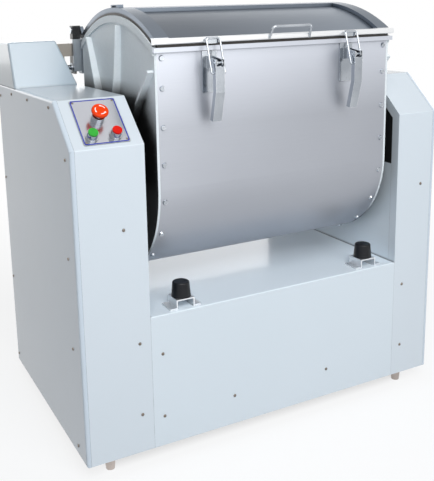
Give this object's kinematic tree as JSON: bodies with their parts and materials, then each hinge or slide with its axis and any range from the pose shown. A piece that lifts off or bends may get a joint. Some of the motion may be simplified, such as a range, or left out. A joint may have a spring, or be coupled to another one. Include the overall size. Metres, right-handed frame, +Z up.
{
  "type": "dough mixer",
  "caption": "Floor-standing dough mixer with a tilting U-shaped trough and arched lid between two enamelled towers.",
  "frame": {"origin": "centre of the whole machine's footprint box, on the floor", "axes": "+X to the right seen from the front, +Y to the back, +Z up"},
  "size_m": [1.09, 0.6926, 1.133],
  "materials": {
    "arm_grey": "warm grey paint",
    "black_block": "matte black",
    "black_rubber": "matte",
    "box_grey": "satin",
    "bright_steel": "bright, fine grained",
    "bush_plastic": "natural white",
    "cast_grey": "painted casting",
    "chrome_trim": "polished",
    "control_silver": "satin",
    "cover_enamel": "gloss light blue-white enamel",
    "end_steel": "matte, bead blasted",
    "estop_red": "glossy",
    "frame_paint": "satin black paint",
    "gear_steel": "machined, oiled",
    "gland_black": "matte",
    "lid_steel": "brushed",
    "motor_paint": "satin",
    "silicone": "matte",
    "stainless_trough": "brushed lengthwise",
    "start_green": "glossy",
    "stop_red": "glossy",
    "zinc": "bright zinc plate"
  },
  "bodies": {
    "machine": {"base_frame": "frame_paint", "bearing_housings": "cast_grey", "buffer_brackets": "zinc", "buffer_rubbers": "black_rubber", "cable_gland": "gland_black", "control_plate": "control_silver", "countershaft_bearing": "cast_grey", "cover_screws": "bright_steel", "deck_panel": "cover_enamel", "drive_belts": "black_rubber", "drive_hood": "cover_enamel", "electrical_box": "box_grey", "estop_collar": "chrome_trim", "feet": "bright_steel", "left_front_cover": "cover_enamel", "left_inner_cover": "cover_enamel", "left_rear_cover": "cover_enamel", "left_side_cover": "cover_enamel", "left_wall_plate": "frame_paint", "lock_housing": "zinc", "main_motor": "motor_paint", "rear_panel": "cover_enamel", "right_front_cover": "cover_enamel", "right_inner_cover": "cover_enamel", "right_rear_cover": "cover_enamel", "right_side_cover": "cover_enamel", "right_wall_plate": "frame_paint", "start_bezel": "chrome_trim", "stop_bezel": "chrome_trim", "tilt_stop_arm": "arm_grey"},
    "trough": {"trough_shell": "stainless_trough", "left_end_plate": "end_steel", "right_end_plate": "end_steel", "trunnions": "end_steel", "shaft_seals": "bush_plastic", "trough_bolts": "bright_steel", "latch_bases": "bright_steel", "hinge_brackets": "bright_steel", "hinge_blocks": "black_block", "hinge_pins": "bright_steel"},
    "lid": {"lid_frame": "lid_steel", "lid_sheet": "lid_steel", "lid_gasket": "silicone", "lid_handle": "bright_steel", "lid_catches": "bright_steel"},
    "left_lever": {"left_latch_lever": "bright_steel"},
    "right_lever": {"right_latch_lever": "bright_steel"},
    "left_bail": {"left_latch_bail": "bright_steel"},
    "right_bail": {"right_latch_bail": "bright_steel"},
    "mixing_rotor": {"agitator": "bright_steel", "main_gear": "gear_steel"},
    "counter_rotor": {"countershaft": "gear_steel", "driven_pulley": "gear_steel"},
    "motor_rotor": {"motor_pulley": "gear_steel", "motor_shaft": "gear_steel"},
    "lock_plunger": {"lock_pin": "bright_steel"},
    "estop_plunger": {"estop_stem": "chrome_trim"},
    "estop_knob": {"estop_head": "estop_red"},
    "start_cap": {"start_button": "start_green"},
    "stop_cap": {"stop_button": "stop_red"}
  },
  "joints": [
    {"name": "trough_tilt", "type": "hinge", "parent": "machine", "child": "trough", "pos_m": [0, -0.04825, 0.696], "axis": [1, 0, 0], "range_deg": [0, 90]},
    {"name": "lid_hinge", "type": "hinge", "parent": "trough", "child": "lid", "pos_m": [0.0225, 0.21775, 1.066], "axis": [-1, 0, 0], "range_deg": [0, 100]},
    {"name": "left_latch", "type": "hinge", "parent": "trough", "child": "left_lever", "pos_m": [-0.181, -0.33825, 0.993], "axis": [-1, 0, 0], "range_deg": [0, 110]},
    {"name": "left_bail_swing", "type": "hinge", "parent": "left_lever", "child": "left_bail", "pos_m": [-0.181, -0.33825, 0.969], "axis": [-1, 0, 0], "range_deg": [-100, 0]},
    {"name": "right_latch", "type": "hinge", "parent": "trough", "child": "right_lever", "pos_m": [0.226, -0.33825, 0.993], "axis": [-1, 0, 0], "range_deg": [0, 110]},
    {"name": "right_bail_swing", "type": "hinge", "parent": "right_lever", "child": "right_bail", "pos_m": [0.226, -0.33825, 0.969], "axis": [-1, 0, 0], "range_deg": [-100, 0]},
    {"name": "agitator_spin", "type": "hinge", "parent": "machine", "child": "mixing_rotor", "pos_m": [0, -0.04825, 0.696], "axis": [1, 0, 0], "continuous": true},
    {"name": "countershaft_spin", "type": "hinge", "parent": "machine", "child": "counter_rotor", "pos_m": [-0.4908, 0.18285, 0.80377], "axis": [1, 0, 0], "continuous": true},
    {"name": "motor_spin", "type": "hinge", "parent": "machine", "child": "motor_rotor", "pos_m": [-0.5328, 0.18285, 0.186], "axis": [1, 0, 0], "continuous": true},
    {"name": "lock_slide", "type": "slide", "parent": "machine", "child": "lock_plunger", "axis": [1, 0, 0], "range_m": [0, 0.014]},
    {"name": "estop_push", "type": "slide", "parent": "machine", "child": "estop_plunger", "axis": [0, 0.6799, -0.7333], "range_m": [0, 0.005], "stiffness_N_per_m": 2500},
    {"name": "estop_twist", "type": "hinge", "parent": "estop_plunger", "child": "estop_knob", "pos_m": [-0.4525, -0.26652, 0.89375], "axis": [0, -0.6799, 0.7333], "range_deg": [0, 30]},
    {"name": "start_press", "type": "slide", "parent": "machine", "child": "start_cap", "axis": [0, 0.6799, -0.7333], "range_m": [0, 0.003], "stiffness_N_per_m": 1500},
    {"name": "stop_press", "type": "slide", "parent": "machine", "child": "stop_cap", "axis": [0, 0.6799, -0.7333], "range_m": [0, 0.003], "stiffness_N_per_m": 1500}
  ],
  "couplings": [
    {"joint": "left_bail_swing", "follows": "left_latch", "ratio": -0.87},
    {"joint": "right_bail_swing", "follows": "right_latch", "ratio": -0.87},
    {"joint": "countershaft_spin", "follows": "agitator_spin", "ratio": -4},
    {"joint": "motor_spin", "follows": "agitator_spin", "ratio": -9.3913}
  ]
}
